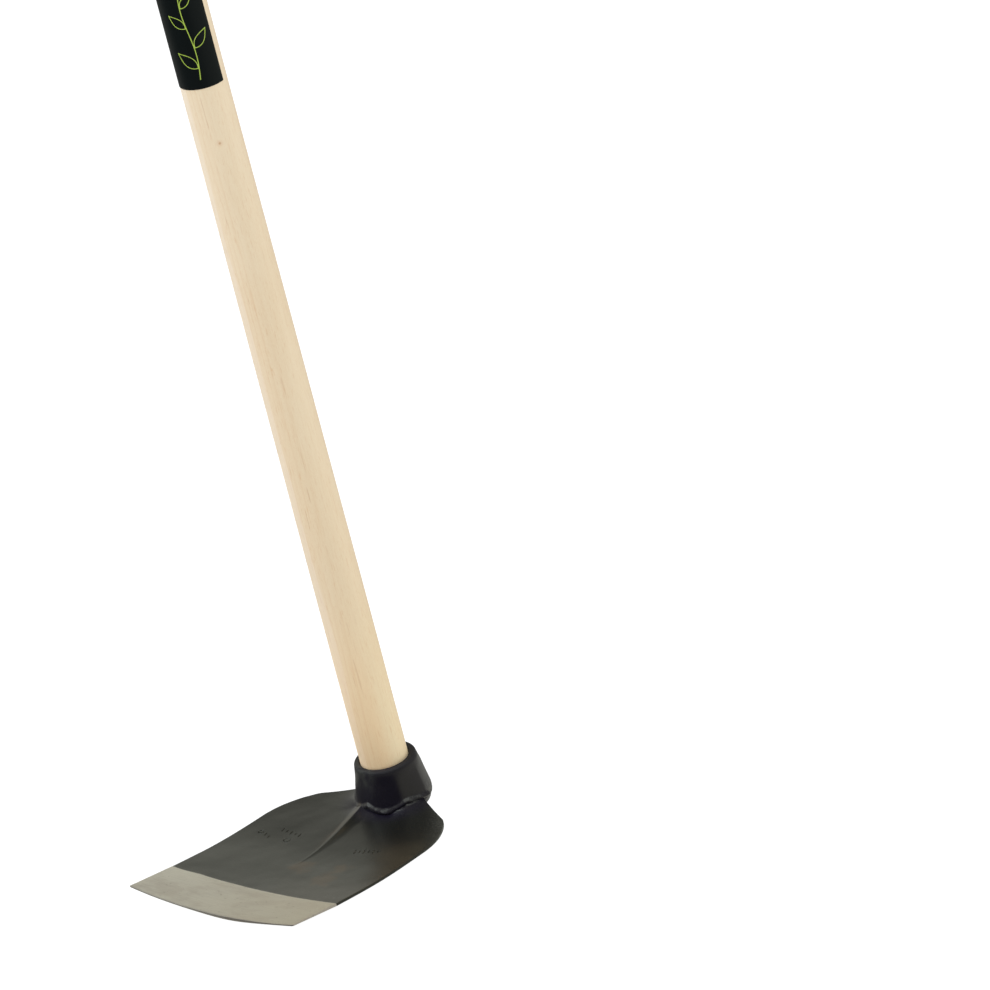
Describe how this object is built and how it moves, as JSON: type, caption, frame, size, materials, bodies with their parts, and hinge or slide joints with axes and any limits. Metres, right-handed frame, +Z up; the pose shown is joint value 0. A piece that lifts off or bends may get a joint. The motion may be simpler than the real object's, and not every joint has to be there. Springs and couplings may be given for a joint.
{
  "type": "grub hoe",
  "caption": "Grub hoe with a broad curved blade, a rib and a round eye in one black forging with a bare ground edge, wedged on a long straight wooden handle.",
  "frame": {"origin": "on the handle's axis, in the plane of the eye's upper rim, where the straight neck of the handle leaves the head", "axes": "+Z up the handle towards the grip; the blade reaches out along -Y; X runs across the blade's width"},
  "size_m": [0.1604, 0.2321, 1.3005],
  "materials": {
    "black_forging": "satin black coating over forged steel, ground bare along the cutting edge",
    "handle_wood": "fine sanded pale wood with a thin clear finish",
    "wedge_wood": "plain hardwood",
    "wedge_steel": "bare steel",
    "label_film": "printed film, dark green to lime"
  },
  "bodies": {
    "root": {"hoe_head": "black_forging", "handle": "handle_wood", "wood_wedge": "wedge_wood", "steel_wedge": "wedge_steel", "label": "label_film"}
  },
  "joints": []
}
